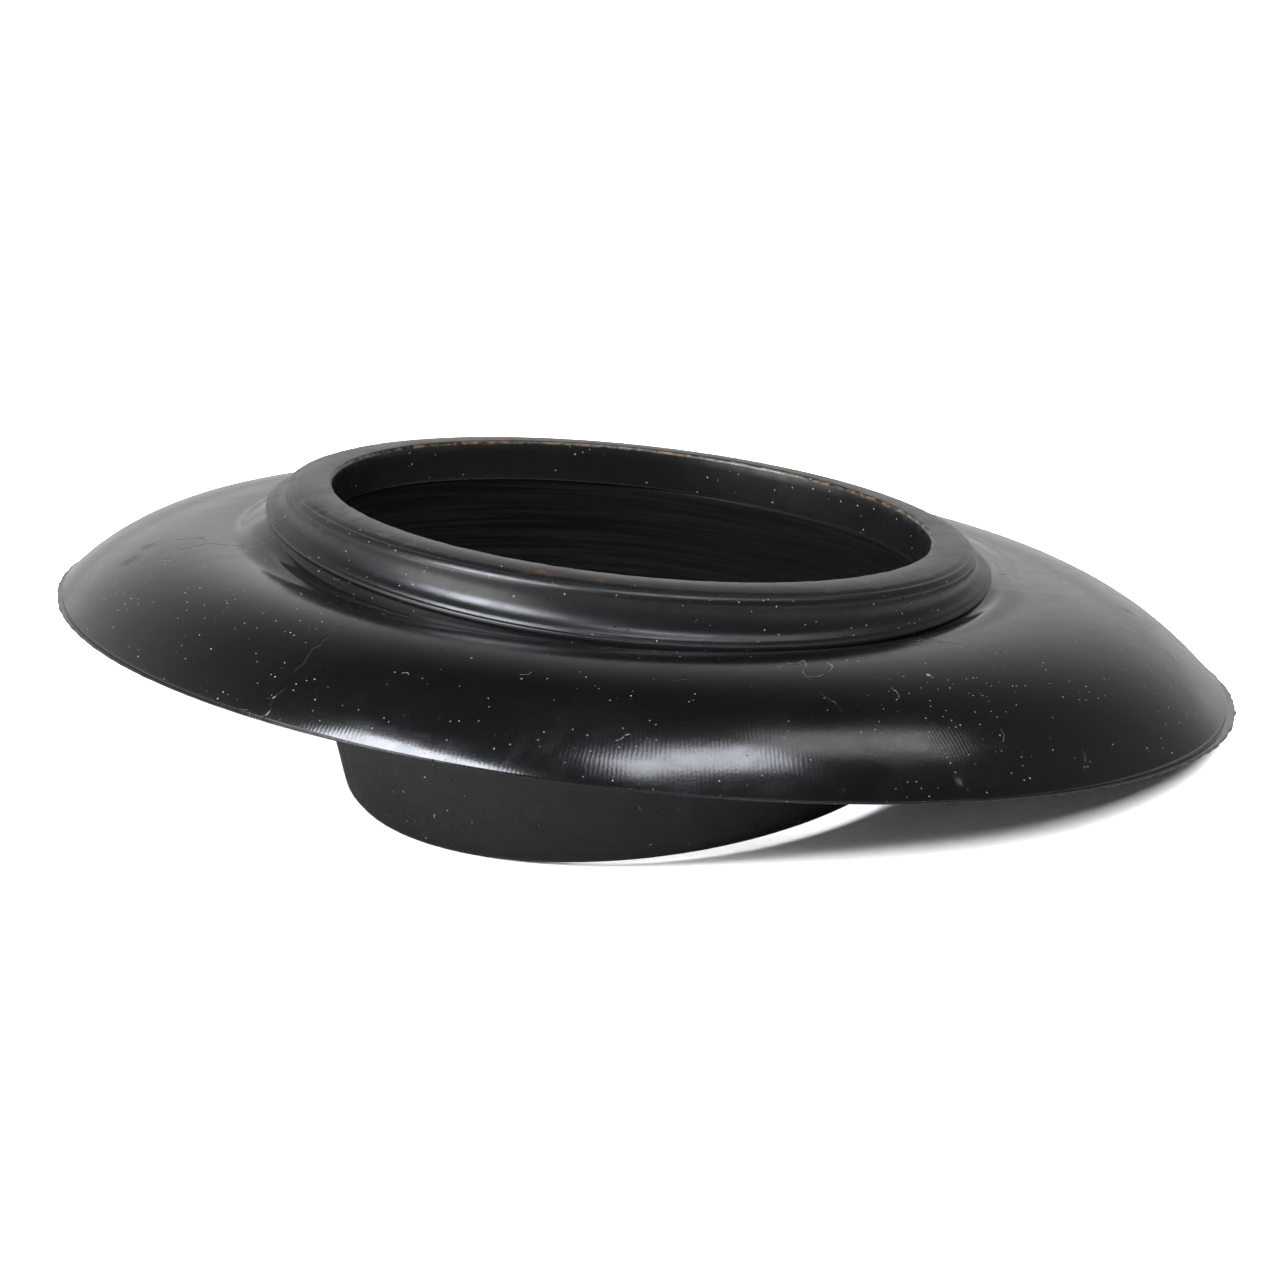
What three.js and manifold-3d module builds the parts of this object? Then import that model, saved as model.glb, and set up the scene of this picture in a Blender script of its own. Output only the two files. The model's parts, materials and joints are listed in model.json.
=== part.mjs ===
// Rubber head of a pump plunger, in millimetres, lying at rest on the plane z = 0.
//
// Three rubber pieces make the head. The neck ring is the raised collar that grips the pump's barrel. The
// bell is the saucer-shaped flange that covers the sink's outlet. The sleeve is the thin tube that enters the
// outlet, and it leans to the flange. The head lies on the low edge of its sleeve and on the rim of its bell.
//
// Every piece is turned about its own axis. The flange frame has its z axis along the neck's axis and z = 0
// on the bell's sealing face. The sleeve leans in its x-z plane. The last group tips that frame over until
// the head rests on the ground, and centres it on the origin.
import * as THREE from "three";
import Module from "manifold-3d";
import { mergeVertices } from "three/addons/utils/BufferGeometryUtils.js";

// Driving dimensions.
const SEGMENTS = 72; // facets round each ring
const GAP = 0.3; // between pieces that meet

const NECK_BORE_R = 37.65;
const NECK_TOP = 18.1; // lip above the sealing face
const BAND_HEIGHT = 5.05; // straight wall inside the mouth
const LIP_LAND = 1.6; // flat width on top of the lip
const NECK_WALL_R = 43.5;
const NECK_FOOT_R = 45.5;
const NECK_FOOT_Z = 11.9; // crease at the collar's foot, on its low side
const FOOT_RISE = 3.1; // how much higher the crease is all round the other side
const FOOT_LOW_SIDE = THREE.MathUtils.degToRad(-128); // bearing from x

const BELL_BORE_R = NECK_FOOT_R + GAP;
const RIM_R = 74.75;
const RIM_OFFSET = 4.65; // the rim's centre from the neck's axis
const DOME_R = 47; // where the dome starts
const DOME_HEIGHT = 12;
const DOME_FULLNESS = 2.55; // exponent of the dome's curve
const CROWN_LEAN = 0.037; // slope of the dome's crown
const CROWN_HIGH_SIDE = THREE.MathUtils.degToRad(-17); // bearing from x
const FILLET_WIDTH = 4.5; // of the dome against the collar, where the crease stands above the dome
const BELL_WALL = 2.6;
const LEDGE_WIDTH = 1.15; // thin moulding ledge round the rim
const LEDGE_THICK = 0.6;
const SEAL_R = RIM_R - 2.7; // inner edge of the flat sealing face under the rim

const SLEEVE_LEAN = THREE.MathUtils.degToRad(15.1);
const SLEEVE_ROOT_Z = 8; // where the sleeve's axis meets the neck's axis
const SLEEVE_LENGTH = 21; // from that point to the open end
const SLEEVE_END_R = 37.75;
const SLEEVE_TAPER = Math.tan(THREE.MathUtils.degToRad(8));
const SLEEVE_WALL = 2.2;
const SLEEVE_TOP_Z = 9.5; // its mitred top, level with the flange
const SLEEVE_REACH = 20; // raw length above the root, before the mitre

const rubber = (color, roughness) =>
  new THREE.MeshStandardMaterial({ color, roughness, metalness: 0 });
const glossyRubber = rubber(0x0d0d0f, 0.32);
const satinRubber = rubber(0x101012, 0.38);
const mattRubber = rubber(0x1b1b1c, 0.6);

// A ring turned about z from a closed outline of [radius, height] points, listed anticlockwise.
function turned(outline) {
  const closed = [...outline, outline[0]].map(([r, z]) => new THREE.Vector2(r, z));
  return new THREE.LatheGeometry(closed, SEGMENTS).rotateX(Math.PI / 2);
}

// Height of a dome that starts flat at DOME_R and comes down to the plane z = 0 at edgeR.
function domeHeight(r, height, edgeR) {
  const share = THREE.MathUtils.clamp((r - DOME_R) / (edgeR - DOME_R), 0, 1);
  return height * (1 - Math.pow(share, DOME_FULLNESS));
}

// Points on the dome's curve, closer together towards the rim where it bends most.
function domeCurve(fromR, toR, steps, height, edgeR) {
  return Array.from({ length: steps + 1 }, (_, i) => {
    const share = Math.sin((i / steps) * (Math.PI / 2));
    const r = fromR + (toR - fromR) * share;
    return [r, domeHeight(r, height, edgeR)];
  });
}

// Share of the crease's rise at a bearing: 0 on the low side, and near 1 from the flanks round the back.
function riseShare(bearing) {
  const facing = Math.cos(bearing - FOOT_LOW_SIDE);
  return 1 - (facing + Math.hypot(facing, 0.2)) / 2;
}

// Moves each point of a geometry along x and z by what shift(radius, height, bearing) says for it.
function shifted(geometry, shift) {
  const at = geometry.attributes.position;
  for (let i = 0; i < at.count; i++) {
    const [x, y, z] = [at.getX(i), at.getY(i), at.getZ(i)];
    const move = shift(Math.hypot(x, y), z, Math.atan2(y, x));
    at.setX(i, x + move.x);
    at.setZ(i, z + move.z);
  }
  return geometry;
}

// The collar: straight bore, crowned lip with a flat land, slightly hollow outer wall and a flared foot. The
// foot's crease is low on one side, and the wall above it is squeezed up on the others.
function neckRing() {
  const underside = NECK_TOP - BAND_HEIGHT - 0.2;
  const shoulder = NECK_TOP - 1.1;
  const outline = [
    [NECK_BORE_R, NECK_TOP - BAND_HEIGHT],
    [NECK_BORE_R + 0.35, underside],
    [NECK_WALL_R - 0.6, underside],
    [NECK_FOOT_R - 0.3, NECK_FOOT_Z - 0.2],
    [NECK_FOOT_R, NECK_FOOT_Z - 0.1],
    [NECK_FOOT_R, NECK_FOOT_Z + 0.1],
    [NECK_FOOT_R - 0.5, NECK_FOOT_Z + 0.4],
    [NECK_FOOT_R - 1.2, NECK_FOOT_Z + 1],
    [NECK_WALL_R + 0.3, NECK_FOOT_Z + 1.9],
    [NECK_WALL_R, NECK_TOP - 3.1],
    [NECK_WALL_R - 0.05, NECK_TOP - 1.9],
    [NECK_WALL_R - 0.2, shoulder],
    [NECK_WALL_R - 1, NECK_TOP - 0.6],
    [NECK_WALL_R - 2.3, NECK_TOP - 0.2],
    [NECK_BORE_R + 0.35 + LIP_LAND, NECK_TOP],
    [NECK_BORE_R + 0.35, NECK_TOP],
    [NECK_BORE_R, NECK_TOP - 0.35],
  ];
  return shifted(turned(outline), (r, z, bearing) => {
    const share = THREE.MathUtils.clamp((shoulder - z) / (shoulder - NECK_FOOT_Z), 0, 1);
    const outside = r > NECK_WALL_R - 0.3;
    return { x: 0, z: outside ? FOOT_RISE * riseShare(bearing) * share : 0 };
  });
}

// The flange: a shallow valley beside the neck's foot, the dome, the moulding ledge and the sealing face.
// Its rim is a little off the neck's axis and its crown leans, so each circle shifts and tips by its radius.
// Where the neck's crease stands above the crown, a hollow fillet reaches up to it.
function bell() {
  const domeEnd = RIM_R - LEDGE_WIDTH;
  const outer = domeCurve(DOME_R + 1.6, domeEnd, 12, DOME_HEIGHT, RIM_R);
  const inner = domeCurve(DOME_R, SEAL_R - 0.4, 8, DOME_HEIGHT - BELL_WALL, SEAL_R);
  const bellTop = DOME_HEIGHT - 0.8;
  const outline = [
    [SEAL_R, 0],
    [RIM_R - 0.1, 0],
    [RIM_R, 0.1],
    [RIM_R, LEDGE_THICK - 0.15],
    [RIM_R - 0.15, LEDGE_THICK],
    [domeEnd + 0.1, LEDGE_THICK],
    ...outer.reverse(),
    [BELL_BORE_R + 0.9, bellTop + 0.25],
    [BELL_BORE_R, bellTop],
    [BELL_BORE_R, DOME_HEIGHT - BELL_WALL],
    ...inner,
  ];
  return shifted(turned(outline), (r, z, bearing) => {
    const share = (r - BELL_BORE_R) / (RIM_R - BELL_BORE_R);
    const inward = THREE.MathUtils.clamp((SEAL_R - r) / (SEAL_R - BELL_BORE_R), 0, 1);
    const lean = CROWN_LEAN * inward * r * Math.cos(bearing - CROWN_HIGH_SIDE);
    const rise = riseShare(bearing);
    const climb = Math.max(0, NECK_FOOT_Z + FOOT_RISE * rise - DOME_HEIGHT - lean) * rise;
    const near = THREE.MathUtils.clamp(1 - (r - BELL_BORE_R) / FILLET_WIDTH, 0, 1);
    const outside = z > DOME_HEIGHT - BELL_WALL / 2;
    return { x: RIM_OFFSET * share, z: lean + (outside ? climb * near * near : 0) };
  });
}

// The sleeve in its own frame, with its root at the origin and its open end downwards. It tapers from the
// root to the end and is straight above the root.
function sleeveTube() {
  const rootR = SLEEVE_END_R + SLEEVE_LENGTH * SLEEVE_TAPER;
  const end = -SLEEVE_LENGTH;
  return turned([
    [SLEEVE_END_R - SLEEVE_WALL, end + 0.3],
    [SLEEVE_END_R - SLEEVE_WALL + 0.3, end],
    [SLEEVE_END_R - 0.4, end],
    [SLEEVE_END_R, end + 0.4],
    [rootR, 0],
    [rootR, SLEEVE_REACH],
    [rootR - SLEEVE_WALL, SLEEVE_REACH],
    [rootR - SLEEVE_WALL, 0],
  ]);
}

const wasm = await Module();
wasm.setup();

// A three.js geometry as a manifold-3d solid.
function solidOf(geometry) {
  const bare = geometry.clone();
  bare.deleteAttribute("normal");
  bare.deleteAttribute("uv");
  const merged = mergeVertices(bare, 1e-4);
  return new wasm.Manifold(
    new wasm.Mesh({
      numProp: 3,
      vertProperties: new Float32Array(merged.attributes.position.array),
      triVerts: new Uint32Array(merged.index.array),
    }),
  );
}

// A manifold-3d solid as a three.js geometry.
function geometryOf(solid) {
  const made = solid.getMesh();
  const geometry = new THREE.BufferGeometry();
  geometry.setAttribute("position", new THREE.BufferAttribute(made.vertProperties, 3));
  geometry.setIndex(new THREE.BufferAttribute(made.triVerts, 1));
  geometry.computeVertexNormals();
  return geometry;
}

// The sleeve leaned over in the flange frame, with its top cut level under the neck ring.
function sleeve() {
  const leaned = sleeveTube().rotateY(-SLEEVE_LEAN).translate(0, 0, SLEEVE_ROOT_Z);
  const cutter = new THREE.BoxGeometry(200, 200, 100).translate(0, 0, SLEEVE_TOP_Z + 50);
  return geometryOf(solidOf(leaned).subtract(solidOf(cutter)));
}

function piece(name, geometry, material) {
  const mesh = new THREE.Mesh(geometry, material);
  mesh.name = name;
  return mesh;
}

const flangeFrame = new THREE.Group();
flangeFrame.add(
  piece("neck_ring", neckRing(), satinRubber),
  piece("bell", bell(), glossyRubber),
  piece("sleeve", sleeve(), mattRubber),
);

// At rest the ground touches the sleeve's end at its lowest point and the rim on the other side.
const endCentre = new THREE.Vector2(
  SLEEVE_LENGTH * Math.sin(SLEEVE_LEAN),
  SLEEVE_ROOT_Z - SLEEVE_LENGTH * Math.cos(SLEEVE_LEAN),
);
const sleeveFoot = new THREE.Vector2(
  endCentre.x - SLEEVE_END_R * Math.cos(SLEEVE_LEAN),
  endCentre.y - SLEEVE_END_R * Math.sin(SLEEVE_LEAN),
);
const rimFoot = new THREE.Vector2(RIM_OFFSET + RIM_R, 0);
const restTilt = Math.atan2(rimFoot.y - sleeveFoot.y, rimFoot.x - sleeveFoot.x);
flangeFrame.rotation.y = restTilt;

const head = new THREE.Group();
head.add(flangeFrame);
head.updateMatrixWorld(true);
const bounds = new THREE.Box3().setFromObject(head, true);
const centre = bounds.getCenter(new THREE.Vector3());
flangeFrame.position.set(-centre.x, -centre.y, -bounds.min.z);

export default head;
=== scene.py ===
import json
import math
import random

import bmesh
import bpy
import numpy as np
from mathutils import Matrix, Vector

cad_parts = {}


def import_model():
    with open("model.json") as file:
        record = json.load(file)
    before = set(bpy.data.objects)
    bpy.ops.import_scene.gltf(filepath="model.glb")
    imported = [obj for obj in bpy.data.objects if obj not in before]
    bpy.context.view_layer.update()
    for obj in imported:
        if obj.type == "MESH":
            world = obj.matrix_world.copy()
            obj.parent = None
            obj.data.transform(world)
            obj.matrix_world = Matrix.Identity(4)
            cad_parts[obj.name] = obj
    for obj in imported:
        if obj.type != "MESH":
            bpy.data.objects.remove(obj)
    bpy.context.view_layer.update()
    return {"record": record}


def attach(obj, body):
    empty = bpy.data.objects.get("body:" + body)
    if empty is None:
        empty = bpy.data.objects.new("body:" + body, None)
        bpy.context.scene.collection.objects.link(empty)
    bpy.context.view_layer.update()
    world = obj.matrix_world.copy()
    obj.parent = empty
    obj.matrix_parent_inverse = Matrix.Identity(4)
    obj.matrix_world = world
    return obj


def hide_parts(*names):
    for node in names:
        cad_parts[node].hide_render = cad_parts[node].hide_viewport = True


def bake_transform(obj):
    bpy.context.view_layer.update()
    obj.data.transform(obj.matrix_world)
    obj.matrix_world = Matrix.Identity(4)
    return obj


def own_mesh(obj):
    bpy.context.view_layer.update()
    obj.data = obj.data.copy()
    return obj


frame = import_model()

MM = 0.001
TAU = 2 * math.pi

RING_SEGMENTS = 720
SLEEVE_SEGMENTS = 540

NECK_BORE_R = 37.65
NECK_TOP = 18.1
BAND_FOOT_Z = 13.05
NECK_UNDERSIDE_Z = 12.85
NECK_SKIRT_R = 43.75  # the neck's wall goes down behind the bell's bore, where it can't be seen from above
NECK_SKIRT_FOOT_Z = 9.2
NECK_SHOULDER_Z = 17.0
NECK_FOOT_Z = 11.9
FOOT_RISE = 3.1  # how much higher the collar's foot is than on its low side
FOOT_LOW_SIDE = -128.0
FOOT_SOFTNESS = 0.2  # of the turn from the foot's low side to its high side

BELL_BORE_R = 45.8
RIM_R = 74.7
RIM_OFFSET = 4.65
DOME_R = 47.0
DOME_HEIGHT = 12.0
DOME_FULLNESS = 2.55
CROWN_LEAN = 0.037
CROWN_HIGH_SIDE = -17.0
BELL_WALL = 2.6
BORE_DROP = 0.95  # of the dome's top at its bore
FILLET_WIDTH = 4.5
FILLET_OVERLAP = 0.6  # how far the fillet climbs past the collar's foot
FILLET_PULL = 1.15  # how far the fillet's top closes on the collar
FILLET_FULL_CLIMB = 4.0  # where it climbs this far, it closes fully
LEDGE_WIDTH = 1.15
LEDGE_THICK = 0.55
SEAL_R = 72.05  # inner edge of the flat sealing face
RUN_OUT_R = 60.0  # from here outwards the dome's edge differs from side to side

SLEEVE_LEAN = 15.1
SLEEVE_ROOT_Z = 8.0
SLEEVE_LENGTH = 21.0
SLEEVE_END_R = 37.75
SLEEVE_TAPER = math.tan(math.radians(8))
SLEEVE_WALL = 2.2

# bearings round the neck's axis, from the low side of the rim
NEAR_SIDE = -127.9  # where the camera is
RIGHT_SIDE = -37.9

ROLL_BEARING = -163.0
ROLL_HEIGHT = 0.6
BLISTER_BEARING = -95.8
BLISTER_R = 73.4
BLISTER_HEIGHT = 0.3
BLISTER_WIDTH = 0.8
UNEVENNESS = 0.12

# threads of lint on the dome: thickness, then the bearing of each bend and its distance from the neck's axis
LINT_SIDES = 5
LINT_TIP = 0.35
LINT = (
    (
        0.03,
        *((-108.3, 54.6), (-106.1, 53.1), (-105.1, 53.4), (-103.4, 52.1), (-104.2, 54.1), (-105.7, 55.8)),
        *((-105.9, 57.2), (-104.2, 57.0), (-101.9, 55.7), (-100.7, 54.4), (-100.7, 53.1)),
    ),
    (0.05, (-177.9, 51.8), (-177.2, 52.3), (-176.6, 52.5)),
    (0.055, (-129.5, 69.7), (-129.0, 69.5), (-128.7, 69.1)),
    (0.055, (-128.6, 68.9), (-128.1, 68.7)),
    (0.04, (-152.9, 64.9), (-152.3, 64.6), (-152.0, 64.9)),
    (0.021, (-97.4, 62.4), (-96.6, 61.8), (-96.3, 60.8), (-96.6, 60.0)),
    (0.021, (-73.9, 55.5), (-72.9, 56.0), (-71.6, 55.8)),
    (0.021, (-140.2, 61.3), (-139.2, 61.0), (-138.9, 60.3)),
    (0.021, (-88.2, 69.0), (-87.4, 68.2), (-87.3, 67.4)),
    (0.021, (62.0, 58.0), (63.5, 57.2), (64.4, 57.9), (65.0, 59.0)),
    (0.021, (15.0, 66.0), (16.2, 65.4), (16.9, 64.2)),
)

# colours, and dull smears as (centre in the flange frame, radius)
BLACK_RUBBER = (0.0012, 0.0012, 0.0013)
SLEEVE_RUBBER = (0.002, 0.002, 0.0022)
BLOOM_TINT = 2.6  # the cloudy bloom is this many times as pale as the rubber
DUST = (0.08, 0.073, 0.06, 1)
RUST_DUST = (0.13, 0.06, 0.025, 1)
CUT_EDGE = (0.05, 0.034, 0.02, 1)
DARK_LINT = (0.035, 0.024, 0.014, 1)
PALE_LINT = (0.09, 0.073, 0.05, 1)
BELL_SMEARS = (
    ((53.2, -34.8, 10.9), 1.7),
    ((57.1, -35.3, 8.9), 2.6),
    ((60.9, -36.5, 6.7), 2.0),
    ((57.5, -27.0, 10.2), 1.6),
    ((-55.3, 28.8, 7.3), 2.0),
    ((-51.5, 31.0, 8.4), 1.4),
)
NECK_SMEARS = (((-40.5, 10.5, 17.9), 1.5), ((-41.2, 8.4, 17.7), 1.2))

# relief of the materials, in metres
GRAIN_DEPTH = 0.000006
WAVINESS_DEPTH = 0.00001
PIT_DEPTH = 0.00006
RIDGE_DEPTH = 0.0000018
SCRATCH_DEPTH = 0.00003
SPECK_DEPTH = 0.00008
STREAK_DEPTH = 0.00003

CAMERA_BEARING = 35.2  # from straight in front, towards the sleeve's low side
CAMERA_ELEVATION = 19.87
CAMERA_ROLL = -3.46
CAMERA_DISTANCE = 0.9722
CAMERA_AIM = Vector((-0.0006, 0.0007, 0.0155))
CAMERA_LENS = 216.56
CAMERA_SENSOR = 36.0
LIGHT_DISTANCE = 4.0
FLOOR_REACH = 4.0
SKYLIGHT = (0.93, 0.97, 1.06)
ROOM_LIGHT = 0.025
BACKDROP_LIGHT = 1.35  # of the white backdrop at the horizon
BACKDROP_TOP = 0.82  # height on the unit sphere where it ends
BACKDROP_SIDE = (-0.17, 0.98, 0.0)
REFLECTED_FLOOR = 0.16  # brightness of the floor in reflections, of what the camera sees


def joint(name):
    return next(j for j in frame["record"]["behaviour"]["joints"] if j["name"] == name)


NECK_AXIS = Vector(joint("bell_press")["axis"]).normalized()
SLEEVE_ROOT = Vector(joint("sleeve_flex")["pos_m"])
FLANGE_ORIGIN = SLEEVE_ROOT - NECK_AXIS * SLEEVE_ROOT_Z * MM
FLANGE = Matrix.Translation(FLANGE_ORIGIN) @ Matrix.Rotation(math.atan2(NECK_AXIS.x, NECK_AXIS.z), 4, "Y")


# ---------------------------------------------------------------- curves and noise


def closeness(angle, centre, width):
    """1 at that bearing, falling smoothly to 0 about width away. Angles in degrees."""
    off = (np.asarray(angle) - centre + 180) % 360 - 180
    return np.exp(-((off / width) ** 2))


def ripple(angle, seed, lowest, highest, terms=24):
    """Smooth noise round a circle, about -1 to 1, from waves that close on themselves. Angles in degrees."""
    chance = random.Random(seed)
    total = np.zeros_like(np.asarray(angle, float))
    for _ in range(terms):
        waves = chance.randint(lowest, highest)
        total += chance.uniform(0.4, 1) * np.sin(np.radians(angle) * waves + chance.uniform(0, TAU))
    return total / math.sqrt(terms)


def rounded(corners, step):
    """Points along a closed outline of (x, y, radius) corners, with each corner rounded by its radius."""
    points = []
    count = len(corners)
    for i, (x, y, radius) in enumerate(corners):
        here = np.array([x, y])
        before = np.array(corners[i - 1][:2])
        after = np.array(corners[(i + 1) % count][:2])
        back, ahead = before - here, after - here
        reach = min(radius, 0.48 * np.linalg.norm(back), 0.48 * np.linalg.norm(ahead))
        if reach < 1e-6:
            points.append(here)
            continue
        start = here + back / np.linalg.norm(back) * reach
        end = here + ahead / np.linalg.norm(ahead) * reach
        for u in np.linspace(0, 1, 5):
            points.append((1 - u) ** 2 * start + 2 * u * (1 - u) * here + u * u * end)
    dense = []
    for i, point in enumerate(points):
        after = points[(i + 1) % len(points)]
        parts = max(1, math.ceil(np.linalg.norm(after - point) / step))
        dense += [point + (after - point) * k / parts for k in range(parts)]
    return np.array(dense)


def dome_height(r, height, edge_r):
    share = np.clip((np.asarray(r, float) - DOME_R) / (edge_r - DOME_R), 0, 1)
    return height * (1 - share**DOME_FULLNESS)


def dome_curve(from_r, to_r, steps, height, edge_r):
    """Corners along the dome, closer together towards the rim."""
    radii = from_r + (to_r - from_r) * np.sin(np.linspace(0, math.pi / 2, steps + 1))
    return [(float(r), float(dome_height(r, height, edge_r)), 0) for r in radii]


def bearing(points):
    return np.degrees(np.arctan2(points[..., 1], points[..., 0]))


def rise_share(angle):
    """Share of the foot's rise at a bearing: 0 on the low side, near 1 from the flanks round the back."""
    facing = np.cos(np.radians(angle - FOOT_LOW_SIDE))
    return 1 - (facing + np.hypot(facing, FOOT_SOFTNESS)) / 2


def crown_shift(points):
    """The bell's rim is off the neck's axis and its crown leans, so each circle moves sideways and tips. A
    hollow fillet climbs to the collar's foot where that stands above the crown."""
    r = np.hypot(points[..., 0], points[..., 1])
    angle = bearing(points)
    share = (r - BELL_BORE_R) / (RIM_R - BELL_BORE_R)
    inward = np.clip((SEAL_R - r) / (SEAL_R - BELL_BORE_R), 0, 1)
    lean = CROWN_LEAN * inward * r * np.cos(np.radians(angle - CROWN_HIGH_SIDE))
    rise = rise_share(angle)
    climb = np.clip(NECK_FOOT_Z + FOOT_RISE * rise - DOME_HEIGHT - lean + FILLET_OVERLAP, 0, None)
    climb = climb * np.clip(1.2 * rise, 0, 1)
    near = np.clip(1 - (r - BELL_BORE_R) / FILLET_WIDTH, 0, 1)
    outside = np.clip((points[..., 2] - DOME_HEIGHT + BELL_WALL) / (BELL_WALL - BORE_DROP), 0, 1)
    pull = FILLET_PULL * np.clip(climb / FILLET_FULL_CLIMB, 0, 1) * near**4 * outside**6
    moved = points.copy()
    moved[..., :2] *= (1 - pull / np.maximum(r, 1e-6))[..., None]
    moved[..., 2] += lean + climb * near**2 * outside
    moved[..., 0] += RIM_OFFSET * share
    return moved


# ---------------------------------------------------------------- meshes


def ring_mesh(name, rings):
    """A closed skin through rings of points, an array [ring, point, xyz] in mm in the flange frame. Its mesh
    is in the row frame, and keeps the flange frame's places in local_mm for its material."""
    count, segments, _ = rings.shape
    index = np.arange(count * segments).reshape(count, segments)
    beside = np.roll(index, -1, axis=1)
    across, opposite = np.roll(index, -1, axis=0), np.roll(beside, -1, axis=0)
    quads = np.stack([index, beside, opposite, across], -1).reshape(-1, 4)
    mesh = bpy.data.meshes.new(name)
    mesh.from_pydata((rings.reshape(-1, 3) * MM).tolist(), [], quads.tolist())
    mesh.transform(FLANGE)
    made = bmesh.new()
    made.from_mesh(mesh)
    bmesh.ops.recalc_face_normals(made, faces=made.faces)
    made.to_mesh(mesh)
    made.free()
    mesh.shade_smooth()
    local = mesh.attributes.new("local_mm", "FLOAT_VECTOR", "POINT")
    local.data.foreach_set("vector", rings.reshape(-1).astype(np.float32))
    piece = bpy.data.objects.new(name, mesh)
    bpy.context.scene.collection.objects.link(piece)
    return piece


def turned(outline, segments=RING_SEGMENTS):
    """Rings of an outline of [radius, height] turned about the neck's axis."""
    angle = np.linspace(0, TAU, segments, endpoint=False)
    r, z = outline[:, 0:1], outline[:, 1:2]
    return np.stack([r * np.cos(angle), r * np.sin(angle), z + 0 * angle], -1)


def bell_skin():
    """The bell: its sealing face, round the rim, over the dome, down its bore and along its hollow."""
    dome_end = RIM_R - LEDGE_WIDTH
    corners = [
        (SEAL_R, 0, 0.3),
        (RIM_R, 0, 0.12),
        (RIM_R, LEDGE_THICK, 0.15),
        (dome_end + 0.05, LEDGE_THICK, 0.1),
        *reversed(dome_curve(DOME_R + 1.8, dome_end, 48, DOME_HEIGHT, RIM_R)),
        (DOME_R + 0.7, DOME_HEIGHT - 0.12, 0.5),
        (DOME_R - 0.3, DOME_HEIGHT - 0.7, 0.5),
        (BELL_BORE_R, DOME_HEIGHT - BORE_DROP, 0.1),
        (BELL_BORE_R, DOME_HEIGHT - BELL_WALL, 0.4),
        *dome_curve(DOME_R, SEAL_R - 0.4, 16, DOME_HEIGHT - BELL_WALL, SEAL_R),
    ]
    rings = turned(rounded(corners, 0.7))
    angle = bearing(rings)
    r = np.hypot(rings[..., 0], rings[..., 1])
    outward = rings / np.maximum(r, 1e-6)[..., None] * np.array([1, 1, 0])

    # the moulding ledge is widest on the right and roughly trimmed; in front the dome runs out to the edge
    ledge = np.clip((r - dome_end) / LEDGE_WIDTH, 0, 1)
    top = (rings[..., 2] > LEDGE_THICK - 0.3) & (r > DOME_R)
    outwards = np.where(top, np.clip((r - RUN_OUT_R) / (dome_end - RUN_OUT_R), 0, 1), 0)
    front = closeness(angle, NEAR_SIDE, 75)
    width = 0.35 * closeness(angle, RIGHT_SIDE, 30) - (LEDGE_WIDTH - 0.1) * front
    spread = -(outwards**3) * (1 - ledge) * width
    on_dome = top & (ledge < 0.01)
    sunk = dome_height(r + spread, DOME_HEIGHT, RIM_R) - dome_height(r, DOME_HEIGHT, RIM_R)
    rings[..., 2] += np.where(on_dome, sunk, np.where(top, -0.35 * front, 0))
    rings += outward * spread[..., None]
    trim = 0.16 + 0.1 * ripple(angle, 3, 40, 170) + 0.1 * ripple(angle, 4, 5, 30)
    rings -= outward * (ledge * np.clip(trim, 0, None) * (1 - 0.8 * front))[..., None]

    # on the left of the front the edge rolls over more sharply
    reach = np.clip((r + spread - RUN_OUT_R) / (RIM_R - RUN_OUT_R), 0, 1)
    roll = ROLL_HEIGHT * (reach**8 - reach**24) * closeness(angle, ROLL_BEARING, 26)
    rings[..., 2] += np.where(on_dome, roll, 0)

    # a blister near the front edge
    blister = np.radians(BLISTER_BEARING)
    off = np.hypot(rings[..., 0] - BLISTER_R * np.cos(blister), rings[..., 1] - BLISTER_R * np.sin(blister))
    swelling = BLISTER_HEIGHT * np.exp(-((off / BLISTER_WIDTH) ** 2))
    rings += outward * np.where(top, swelling, 0)[..., None]

    # soft rubber is never quite round or even
    loose = np.clip((r - 50) / 10, 0, 1) * np.clip((SEAL_R - r) / 6, 0, 1)
    rings[..., 2] += UNEVENNESS * ripple(angle, 7, 2, 6, 6) * loose
    return ring_mesh("bell_skin", crown_shift(rings))


def lint_path(bends):
    """Places along a thread that lies on the dome, in the row frame."""
    bends = np.array(bends)
    along = np.linspace(0, len(bends) - 1, 4 * len(bends))
    turn, r = (np.interp(along, range(len(bends)), bends[:, k]) for k in (0, 1))
    z = dome_height(r, DOME_HEIGHT, RIM_R)
    path = np.stack([r * np.cos(np.radians(turn)), r * np.sin(np.radians(turn)), z], -1)
    return crown_shift(path[:, None])[:, 0]


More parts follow.
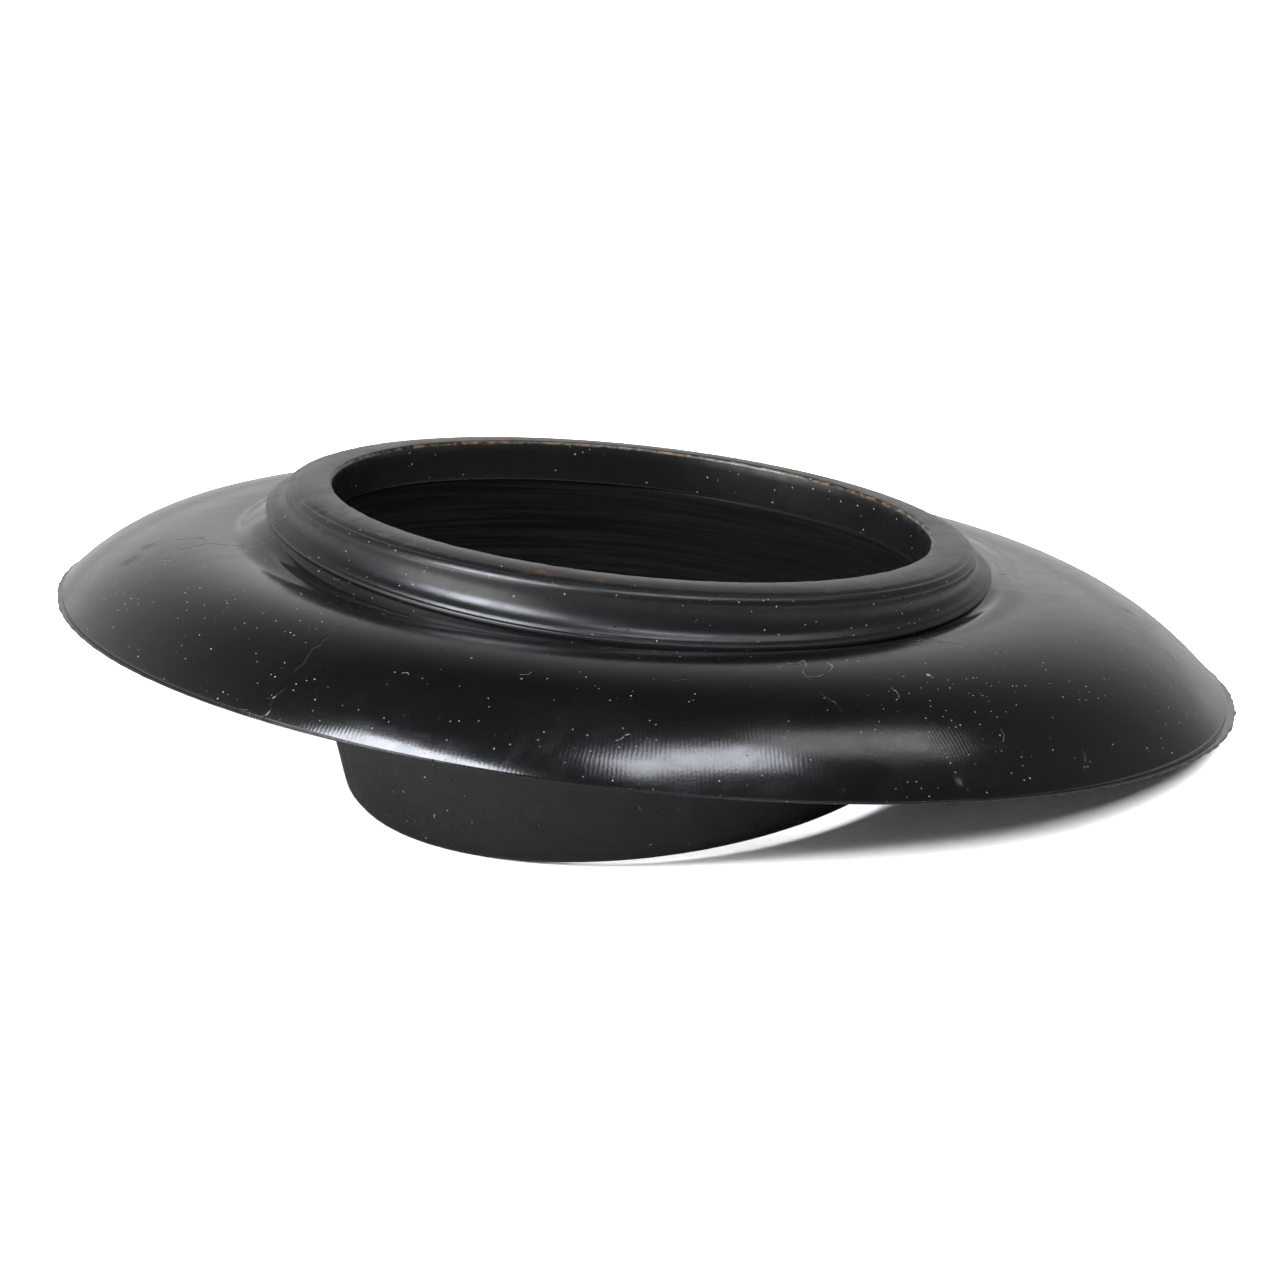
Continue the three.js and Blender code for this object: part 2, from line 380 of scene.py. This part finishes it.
def add_lint(bell):
    """Threads of lint lying on the dome, in the bell's own mesh so that they go where it goes."""
    made = bmesh.new()
    made.from_mesh(bell.data)
    spokes = [TAU * k / LINT_SIDES for k in range(LINT_SIDES)]
    for thick, *bends in LINT:
        lift = np.array([0, 0, 0.8 * thick])
        path = [FLANGE @ Vector(point * MM) for point in lint_path(bends) + lift]
        last = len(path) - 1
        loops = []
        for i, point in enumerate(path):
            way = (path[min(i + 1, last)] - path[max(i - 1, 0)]).normalized()
            side = way.cross(NECK_AXIS).normalized()
            up = side.cross(way)
            wide = thick * MM * (LINT_TIP if i in (0, last) else 1)
            places = [point + wide * (side * math.cos(a) + up * math.sin(a)) for a in spokes]
            loops.append([made.verts.new(place) for place in places])
        pairs = zip(loops, loops[1:])
        sheet = [(a[k], a[k - 1], b[k - 1], b[k]) for a, b in pairs for k in range(LINT_SIDES)]
        for corners in (*sheet, loops[0], loops[-1][::-1]):
            made.faces.new(corners).material_index = 1
    made.to_mesh(bell.data)
    made.free()
    bell.data.shade_smooth()


def neck_skin():
    """The neck ring, from the band inside its bore round its skirt and foot, up its wall and over its lip."""
    bore = NECK_BORE_R
    corners = [
        (bore, BAND_FOOT_Z, 0.15),
        (bore + 0.35, NECK_UNDERSIDE_Z, 0.1),
        (NECK_SKIRT_R, NECK_UNDERSIDE_Z, 0.1),
        (NECK_SKIRT_R, NECK_SKIRT_FOOT_Z, 0.1),
        (45.4, NECK_SKIRT_FOOT_Z, 0.1),
        (45.4, 11.0, 0.1),
        (45.75, 11.3, 0.15),
        (45.72, 11.75, 0.2),
        (45.35, NECK_FOOT_Z, 0.05),
        (45.1, 12.3, 0.25),
        (44.3, 12.9, 0.7),
        (43.75, 13.8, 0.9),
        (43.45, 15.2, 0.7),
        (43.5, 16.5, 0.4),
        (43.25, NECK_SHOULDER_Z, 0.3),
        (42.85, 17.33, 0.4),
        (42.55, 17.38, 0.4),
        (42.0, 17.7, 0.5),
        (40.7, 17.98, 0.8),
        (bore + 1.9, NECK_TOP, 0.6),
        (bore + 0.3, NECK_TOP, 0.15),
        (bore, NECK_TOP - 0.3, 0.15),
        (bore - 0.05, 15.6, 1.0),
    ]
    rings = turned(rounded(corners, 0.5))
    angle = bearing(rings)
    r = np.hypot(rings[..., 0], rings[..., 1])
    outward = rings / r[..., None] * np.array([1, 1, 0])

    # the bore's edge was trimmed by hand
    edge = np.exp(-(((r - bore) / 0.5) ** 2)) * np.clip(rings[..., 2] - NECK_TOP + 1.2, 0, 1)
    ragged = 0.035 * ripple(angle, 11, 30, 140) + 0.06 * ripple(angle, 12, 8, 28)
    ragged += 0.3 * closeness(angle, RIGHT_SIDE + 12, 14) * ripple(angle, 13, 45, 90)
    ragged *= 0.3 + 0.7 * closeness(angle, NEAR_SIDE, 100)
    rings += outward * (edge * (ragged + 0.1))[..., None]
    rings[..., 2] -= 0.04 * edge * (1 + ripple(angle, 14, 20, 90))

    # the foot is low on one side, and squeezes up the wall above it on the others
    below = np.clip((NECK_SHOULDER_Z - rings[..., 2]) / (NECK_SHOULDER_Z - NECK_FOOT_Z), 0, 1)
    movable = (r > NECK_SKIRT_R - 0.5) & (rings[..., 2] > 10)
    movable &= (r > NECK_SKIRT_R + 0.01) | (rings[..., 2] > NECK_UNDERSIDE_Z + 0.2)
    rings[..., 2] += np.where(movable, FOOT_RISE * rise_share(angle) * below, 0)
    return ring_mesh("neck_ring_skin", rings)


def sleeve_radius(height, inset):
    """Radius of the sleeve's outer wall that far above its root, less inset."""
    return SLEEVE_END_R + (np.minimum(height, 0) + SLEEVE_LENGTH) * SLEEVE_TAPER - inset


def sleeve_loop(inset, height):
    """A loop on the sleeve's wall, height above its root, which may differ round the loop."""
    angle = np.linspace(0, TAU, SLEEVE_SEGMENTS, endpoint=False)
    lean = math.radians(SLEEVE_LEAN)
    height = np.broadcast_to(height, angle.shape)
    r = sleeve_radius(height, inset)
    x = r * np.cos(angle) * math.cos(lean) - height * math.sin(lean)
    z = r * np.cos(angle) * math.sin(lean) + height * math.cos(lean) + SLEEVE_ROOT_Z
    return np.stack([x, r * np.sin(angle), z], -1)


def sleeve_cut(inset, z):
    """The loop where the sleeve's wall meets the plane at z in the flange frame."""
    height = np.zeros(SLEEVE_SEGMENTS)
    for _ in range(6):
        short = z - sleeve_loop(inset, height)[:, 2]
        height = height + short / math.cos(math.radians(SLEEVE_LEAN))
    return sleeve_loop(inset, height)


def flange_ring(r, z):
    return turned(np.array([[r, z]]), SLEEVE_SEGMENTS)[0]


def lofted(loops, step):
    """Rings along smooth curves through the given loops, which close on themselves."""
    count = len(loops)
    rings = []
    for i in range(count):
        p0, p1, p2, p3 = (loops[(i + k) % count] for k in (-1, 0, 1, 2))
        gap = np.linalg.norm(p2 - p1, axis=1).mean()
        parts = max(1, math.ceil(gap / step))
        before = np.linalg.norm(p1 - p0, axis=1).mean()
        after = np.linalg.norm(p3 - p2, axis=1).mean()
        m1 = (p2 - p0) * gap / max(before + gap, 1e-6)
        m2 = (p3 - p1) * gap / max(after + gap, 1e-6)
        for k in range(parts):
            u = k / parts
            rings.append(
                (2 * u**3 - 3 * u**2 + 1) * p1
                + (u**3 - 2 * u**2 + u) * m1
                + (3 * u**2 - 2 * u**3) * p2
                + (u**3 - u**2) * m2
            )
    return np.array(rings)


def sleeve_skin():
    """The sleeve, from its end up the outside to the neck, where its root is hidden, and down its bore."""
    end = -SLEEVE_LENGTH
    wall = SLEEVE_WALL
    foot = sleeve_loop(0, end + 0.7)
    root = sleeve_cut(0, 3.2)
    mouth = sleeve_cut(wall, NECK_UNDERSIDE_Z + 0.1)
    inner_foot = sleeve_loop(wall, end + 0.6)
    loops = [
        sleeve_loop(wall - 0.3, end + 0.06),
        sleeve_loop(wall / 2, end),
        sleeve_loop(0.3, end + 0.1),
        foot,
        0.85 * foot + 0.15 * root,
        0.15 * foot + 0.85 * root,
        root,
        flange_ring(43.2, 7.2),
        flange_ring(45.3, 8.9),
        flange_ring(45.5, 9.4),
        flange_ring(44.3, 11.0),
        flange_ring(43.2, 12.9),
        0.25 * flange_ring(43.2, 12.95) + 0.75 * mouth,
        mouth,
        0.9 * mouth + 0.1 * inner_foot,
        0.1 * mouth + 0.9 * inner_foot,
        inner_foot,
    ]
    return ring_mesh("sleeve_skin", lofted(loops, 0.8))


# ---------------------------------------------------------------- materials


class Nodes:
    """A short way to write a material's nodes."""

    def __init__(self, name):
        self.material = bpy.data.materials.new(name)
        self.material.use_nodes = True
        self.tree = self.material.node_tree
        self.tree.nodes.clear()
        self.shader = self.add("ShaderNodeBsdfPrincipled")
        output = self.add("ShaderNodeOutputMaterial")
        self.link(self.shader.outputs["BSDF"], output.inputs["Surface"])

    def add(self, kind, **settings):
        node = self.tree.nodes.new(kind)
        for key, value in settings.items():
            setattr(node, key, value)
        return node

    def link(self, source, target):
        self.tree.links.new(source, target)

    def feed(self, socket, value):
        if isinstance(value, bpy.types.NodeSocket):
            self.link(value, socket)
        else:
            socket.default_value = value

    def math(self, operation, *values):
        node = self.add("ShaderNodeMath", operation=operation)
        for socket, value in zip(node.inputs, values):
            self.feed(socket, value)
        return node.outputs[0]

    def times(self, first, second):
        return self.math("MULTIPLY", first, second)

    def rest(self, share):
        return self.math("SUBTRACT", 1.0, share)

    def local(self):
        """Places in the flange frame, in mm."""
        return self.add("ShaderNodeAttribute", attribute_name="local_mm").outputs["Vector"]

    def stretch(self, vector, scale):
        node = self.add("ShaderNodeVectorMath", operation="MULTIPLY")
        self.link(vector, node.inputs[0])
        node.inputs[1].default_value = scale
        return node.outputs[0]

    def noise(self, vector, scale, detail=4, rough=0.55, distortion=0.0):
        node = self.add("ShaderNodeTexNoise")
        self.link(vector, node.inputs["Vector"])
        node.inputs["Scale"].default_value = scale
        node.inputs["Detail"].default_value = detail
        node.inputs["Roughness"].default_value = rough
        node.inputs["Distortion"].default_value = distortion
        return node.outputs["Fac"]

    def bent(self, vector, scale, distance):
        """The places moved about by noise."""
        node = self.add("ShaderNodeTexNoise")
        self.link(vector, node.inputs["Vector"])
        node.inputs["Scale"].default_value = scale
        moved = self.add("ShaderNodeVectorMath", operation="ADD")
        self.link(vector, moved.inputs[0])
        self.link(self.stretch(node.outputs["Color"], (distance,) * 3), moved.inputs[1])
        return moved.outputs[0]

    def ramp(self, value, low, high, to_low=0.0, to_high=1.0):
        """A smooth step from to_low, where the value is low, to to_high."""
        node = self.add("ShaderNodeMapRange", interpolation_type="SMOOTHSTEP")
        self.feed(node.inputs["Value"], value)
        node.inputs["From Min"].default_value = low
        node.inputs["From Max"].default_value = high
        node.inputs["To Min"].default_value = to_low
        node.inputs["To Max"].default_value = to_high
        return node.outputs["Result"]

    def specks(self, vector, scale, size, share):
        """Small round spots, 0 to 1: only that share of the Voronoi cells has one."""
        node = self.add("ShaderNodeTexVoronoi", feature="F1")
        self.link(vector, node.inputs["Vector"])
        node.inputs["Scale"].default_value = scale
        parts = self.add("ShaderNodeSeparateColor")
        self.link(node.outputs["Color"], parts.inputs[0])
        chosen = self.math("LESS_THAN", parts.outputs[0], share)
        spot = self.math("LESS_THAN", node.outputs["Distance"], self.times(parts.outputs[1], size))
        return self.times(spot, chosen)

    def patch(self, vector, centre, radius):
        """1 at a place, fading to 0 over that radius with a torn outline."""
        off = self.add("ShaderNodeVectorMath", operation="DISTANCE")
        self.link(vector, off.inputs[0])
        off.inputs[1].default_value = centre
        torn = self.math("MULTIPLY_ADD", self.noise(vector, 0.45, 4, 0.7), 1.6 * radius, -0.8 * radius)
        return self.ramp(self.math("ADD", off.outputs["Value"], torn), radius, 0.3 * radius)

    def gray(self, value):
        node = self.add("ShaderNodeCombineColor")
        for socket in node.inputs[:3]:
            self.link(value, socket)
        return node.outputs[0]

    def mix(self, factor, first, second):
        node = self.add("ShaderNodeMix", data_type="RGBA")
        self.feed(node.inputs[0], factor)
        self.feed(node.inputs[6], first)
        self.feed(node.inputs[7], second)
        return node.outputs[2]

    def bump(self, height, distance, after=None):
        node = self.add("ShaderNodeBump")
        node.inputs["Strength"].default_value = 1.0
        node.inputs["Distance"].default_value = distance
        self.link(height, node.inputs["Height"])
        if after is not None:
            self.link(after, node.inputs["Normal"])
        return node.outputs["Normal"]


def cut_edge(made, place, z, radius, tinted):
    """The color with the bore's brown cut edge and faint stains on the lip."""
    inner = made.ramp(radius, NECK_BORE_R + 0.4, NECK_BORE_R + 0.2)
    high = made.ramp(z, NECK_TOP - 0.5, NECK_TOP - 0.2)
    torn = made.ramp(made.noise(place, 1.1, 4, 0.7), 0.42, 0.6)
    tinted = made.mix(made.times(made.times(inner, high), torn), tinted, CUT_EDGE)
    stain = made.ramp(made.noise(place, 0.3, 4, 0.7), 0.56, 0.7)
    stain = made.times(stain, made.ramp(z, NECK_TOP - 0.8, NECK_TOP - 0.2))
    return made.mix(made.times(stain, 0.12), tinted, RUST_DUST)


def ridges_and_scratches(made, place, angle, radius, smudge, normal):
    """The normal with fine radial ridges near the rim and a few long scratches."""
    wander = made.times(made.noise(place, 0.12, 2), 14.0)
    wave = made.math("SINE", made.math("ADD", made.times(angle, 800.0), wander))
    where = made.times(made.ramp(radius, 57.0, 66.0), made.ramp(smudge, 0.35, 0.65, 0.3, 1.0))
    normal = made.bump(made.times(wave, where), RIDGE_DEPTH, after=normal)
    cracks = made.add("ShaderNodeTexVoronoi", feature="DISTANCE_TO_EDGE")
    made.link(made.bent(place, 0.2, 6.0), cracks.inputs["Vector"])
    cracks.inputs["Scale"].default_value = 0.045
    line = made.ramp(cracks.outputs["Distance"], 0.0, 0.006, 1.0, 0.0)
    scratch = made.times(line, made.ramp(made.noise(place, 0.07, 2), 0.55, 0.62))
    return made.bump(made.rest(scratch), SCRATCH_DEPTH, after=normal)


def rubber(name, color, gloss, dust, streaks=False, ridges=False, edge=False, smears=()):
    """Moulded black rubber: smudged gloss, cloudy bloom, dust, pits, grain, and what its tool left."""
    made = Nodes(name)
    place = made.local()
    parts = made.add("ShaderNodeSeparateXYZ")
    made.link(place, parts.inputs[0])
    x, y, z = parts.outputs
    angle = made.math("ARCTAN2", y, x)
    radius = made.math("SQRT", made.math("ADD", made.math("POWER", x, 2.0), made.math("POWER", y, 2.0)))

    # what lies on it
    smudge = made.noise(made.stretch(place, (0.6, 1.3, 1)), 0.16, 5, 0.65, 1.2)
    patches = made.ramp(made.noise(place, 0.06, 3), 0.4, 0.62, 0.25, 1.0)
    large = made.specks(place, 0.5, 0.07, 0.6 * dust)
    small = made.specks(place, 1.25, 0.15, made.times(patches, 2.5 * dust))
    specks = made.math("MAXIMUM", large, small)
    rusty = made.specks(made.stretch(place, (1.0, 1.0, 0.7)), 0.09, 0.034, 0.3)
    pits = made.specks(place, 0.9, 0.15, made.times(patches, 0.4))

    # color
    bloom = made.ramp(made.noise(place, 0.035, 5, 0.6, 0.4), 0.4, 0.72, 0.0, 0.3)
    tinted = made.mix(bloom, (*color, 1), (*(c * BLOOM_TINT for c in color), 1))
    tinted = made.mix(specks, tinted, DUST)
    tinted = made.mix(rusty, tinted, RUST_DUST)
    if edge:
        tinted = cut_edge(made, place, z, radius, tinted)
    made.link(tinted, made.shader.inputs["Base Color"])

    # gloss
    rough = made.ramp(smudge, 0.4, 0.75, gloss, gloss + 0.07)
    made.link(made.math("MAXIMUM", rough, made.times(specks, 0.9)), made.shader.inputs["Roughness"])
    shine = made.times(made.ramp(smudge, 0.3, 0.7, 0.54, 0.46), made.rest(made.times(pits, 0.8)))
    for centre, size in smears:
        shine = made.times(shine, made.rest(made.times(made.patch(place, centre, size), 0.65)))
    made.link(shine, made.shader.inputs["Specular IOR Level"])
    made.shader.inputs["IOR"].default_value = 1.52

    # relief
    normal = made.bump(made.noise(place, 3.2, 3, 0.6), GRAIN_DEPTH)
    normal = made.bump(made.noise(place, 0.3, 2, 0.5), WAVINESS_DEPTH, after=normal)
    normal = made.bump(made.rest(pits), PIT_DEPTH, after=normal)
    if ridges:
        normal = ridges_and_scratches(made, place, angle, radius, smudge, normal)
    if streaks:
        lines = made.noise(made.stretch(place, (0.02, 0.02, 1.0)), 5.0, 4, 0.7)
        normal = made.bump(lines, STREAK_DEPTH, after=normal)
    normal = made.bump(specks, SPECK_DEPTH, after=normal)
    made.link(normal, made.shader.inputs["Normal"])
    return made.material


def lint():
    """Tan plant fibre, paler in places."""
    made = Nodes("lint")
    place = made.add("ShaderNodeTexCoord").outputs["Object"]
    tone = made.mix(made.ramp(made.noise(place, 900.0, 3), 0.4, 0.6), DARK_LINT, PALE_LINT)
    made.link(tone, made.shader.inputs["Base Color"])
    made.link(made.ramp(made.noise(place, 1500.0, 2), 0.3, 0.7, 0.6, 0.9), made.shader.inputs["Roughness"])
    return made.material


def shaded_bore_rubber():
    """Rubber inside the sleeve, with faint turned lines, darker and less reflective than the outside as
    painted shade for the recessed bore.
    """
    made = Nodes("sleeve_bore_shaded_rubber")
    lines = made.noise(made.stretch(made.local(), (0.03, 0.03, 1.6)), 1.6, 4, 0.7)
    # colour darker than the sleeve's outside: painted shade in the recess
    made.link(made.gray(made.ramp(lines, 0.35, 0.7, 0.0005, 0.0022)), made.shader.inputs["Base Color"])
    made.link(made.ramp(lines, 0.3, 0.7, 0.62, 0.5), made.shader.inputs["Roughness"])
    # the weak reflection is painted shade for the recess
    made.shader.inputs["Specular IOR Level"].default_value = 0.12
    made.link(made.bump(lines, STREAK_DEPTH), made.shader.inputs["Normal"])
    return made.material


def floor_material():
    """White paper, over-exposed as the camera sees it and dimmer in the rubber's reflections."""
    made = Nodes("white_paper")
    place = made.add("ShaderNodeTexCoord").outputs["Object"]
    shade = made.ramp(made.noise(place, 900.0, 3), 0.3, 0.7, 0.86, 0.9)
    reflected = made.add("ShaderNodeLightPath").outputs["Is Glossy Ray"]
    shade = made.times(shade, made.ramp(reflected, 0.0, 1.0, 1.0, REFLECTED_FLOOR))
    made.link(made.gray(shade), made.shader.inputs["Base Color"])
    made.shader.inputs["Roughness"].default_value = 0.7
    made.shader.inputs["Specular IOR Level"].default_value = 0.2
    return made.material


# ---------------------------------------------------------------- studio


def floor():
    mesh = bpy.data.meshes.new("floor")
    corners = [(x * FLOOR_REACH, y * FLOOR_REACH, 0) for x, y in ((-1, -1), (1, -1), (1, 1), (-1, 1))]
    mesh.from_pydata(corners, [], [(0, 1, 2, 3)])
    sheet = bpy.data.objects.new("floor", mesh)
    sheet.location.z = -0.0001
    bpy.context.scene.collection.objects.link(sheet)
    mesh.materials.append(floor_material())


def camera():
    way, up = math.radians(CAMERA_BEARING), math.radians(CAMERA_ELEVATION)
    back = Vector((-math.sin(way) * math.cos(up), -math.cos(way) * math.cos(up), math.sin(up)))
    data = bpy.data.cameras.new("camera")
    data.lens = CAMERA_LENS
    data.sensor_width = CAMERA_SENSOR
    data.clip_start = 0.05
    data.clip_end = 20
    view = bpy.data.objects.new("camera", data)
    bpy.context.scene.collection.objects.link(view)
    roll = Matrix.Rotation(math.radians(CAMERA_ROLL), 4, "Z")
    turn = back.to_track_quat("Z", "Y").to_matrix().to_4x4() @ roll
    view.matrix_world = Matrix.Translation(CAMERA_AIM + back * CAMERA_DISTANCE) @ turn
    bpy.context.scene.camera = view


def softbox(name, direction, angles, radiance, glossy=True, color=(1, 1, 1)):
    """A distant rectangular light that faces the head from that direction. Its angles are the length and
    width that the head sees, in degrees, and its length lies in the row frame's x-z plane. One that isn't
    glossy lights the floor and shows in no reflection."""
    data = bpy.data.lights.new(name, "AREA")
    data.shape = "RECTANGLE"
    data.color = color
    data.size, data.size_y = (2 * LIGHT_DISTANCE * math.tan(math.radians(angle / 2)) for angle in angles)
    data.energy = math.pi * radiance * data.size * data.size_y
    lamp = bpy.data.objects.new(name, data)
    bpy.context.scene.collection.objects.link(lamp)
    way = Vector(direction).normalized()
    across = way.cross(Vector((1, 0, 0))).normalized()
    turn = Matrix((across.cross(way), across, way)).transposed().to_4x4()
    lamp.matrix_world = Matrix.Translation(way * LIGHT_DISTANCE) @ turn
    lamp.visible_glossy = glossy
    lamp.visible_camera = False


def overhead(x_angle, y_angle):
    """Direction of a light that far off the zenith towards x and towards y, in degrees."""
    return (math.tan(math.radians(x_angle)), math.tan(math.radians(y_angle)), 1.0)


def world():
    """A dark room with a white backdrop on one side, brightest at the horizon. The camera sees white."""
    room = bpy.data.worlds.new("studio")
    bpy.context.scene.world = room
    room.use_nodes = True
    tree = room.node_tree
    tree.nodes.clear()

    def add(kind, **settings):
        node = tree.nodes.new(kind)
        for key, value in settings.items():
            setattr(node, key, value)
        return node

    way = add("ShaderNodeTexCoord")
    parts = add("ShaderNodeSeparateXYZ")
    facing = add("ShaderNodeVectorMath", operation="DOT_PRODUCT")
    facing.inputs[1].default_value = BACKDROP_SIDE
    climb = add("ShaderNodeMapRange")
    climb.inputs["To Min"].default_value = BACKDROP_LIGHT - ROOM_LIGHT
    climb.inputs["From Max"].default_value = BACKDROP_TOP
    climb.inputs["To Max"].default_value = 0.0
    side = add("ShaderNodeMapRange", interpolation_type="SMOOTHSTEP")
    side.inputs["From Max"].default_value = 0.75
    side.inputs["To Min"].default_value = 0.25
    product = add("ShaderNodeMath", operation="MULTIPLY_ADD")
    product.inputs[2].default_value = ROOM_LIGHT
    ray = add("ShaderNodeLightPath")
    seen = add("ShaderNodeMix")
    seen.inputs[3].default_value = 1.0
    sky = add("ShaderNodeBackground")
    output = add("ShaderNodeOutputWorld")
    for source, target in (
        (way.outputs["Generated"], parts.inputs[0]),
        (way.outputs["Generated"], facing.inputs[0]),
        (parts.outputs["Z"], climb.inputs["Value"]),
        (facing.outputs["Value"], side.inputs["Value"]),
        (climb.outputs["Result"], product.inputs[0]),
        (side.outputs["Result"], product.inputs[1]),
        (ray.outputs["Is Camera Ray"], seen.inputs[0]),
        (product.outputs[0], seen.inputs[2]),
        (seen.outputs[0], sky.inputs["Strength"]),
        (sky.outputs[0], output.inputs["Surface"]),
    ):
        tree.links.new(source, target)


def studio():
    world()
    floor()
    softbox("key", (-0.34, -0.77, 0.55), (11, 11), 280, glossy=False)
    softbox("strip_bright", overhead(10, -13.2), (24, 8.5), 11.5, color=SKYLIGHT)
    softbox("strip_dim", overhead(34, -8), (22, 10), 3)
    softbox("left_high", overhead(-34, 1), (24, 28), 22, color=SKYLIGHT)
    softbox("overhead_fill", (0.1, 0.1, 1.0), (23, 23), 18, glossy=False)
    softbox("left_window", (-0.93, 0.05, 0.36), (33, 43), 4)
    softbox("left_fill", (-0.8, 0.52, 0.28), (14, 10), 260, glossy=False)
    scene = bpy.context.scene
    scene.view_settings.view_transform = "Standard"
    scene.view_settings.look = "None"


# ---------------------------------------------------------------- the head


def finish_piece(piece, material, body, node):
    piece.data.materials.append(material)
    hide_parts(node)
    if body:
        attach(piece, body)
    return piece


def press_with_bell(piece):
    """Gives the piece a mesh of its own."""
    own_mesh(piece)


def head():
    skin = rubber("bell_rubber", BLACK_RUBBER, 0.14, 0.3, ridges=True, smears=BELL_SMEARS)
    bell = finish_piece(bell_skin(), skin, "bell", "bell")
    bell.data.materials.append(lint())
    add_lint(bell)
    press_with_bell(bell)

    skin = rubber("neck_rubber", BLACK_RUBBER, 0.31, 0.3, edge=True, smears=NECK_SMEARS)
    finish_piece(neck_skin(), skin, "neck", "neck_ring")

    skin = rubber("sleeve_rubber", SLEEVE_RUBBER, 0.45, 0.18, streaks=True)
    sleeve = finish_piece(sleeve_skin(), skin, None, "sleeve")
    sleeve.data.materials.append(shaded_bore_rubber())
    # the bore's faces get the darker, duller copy of the rubber: painted shade
    for face in sleeve.data.polygons:
        inside = face.center - FLANGE_ORIGIN
        face.material_index = int(face.normal.dot(inside - NECK_AXIS * inside.dot(NECK_AXIS)) < 0)
    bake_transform(sleeve)


camera()
studio()
head()
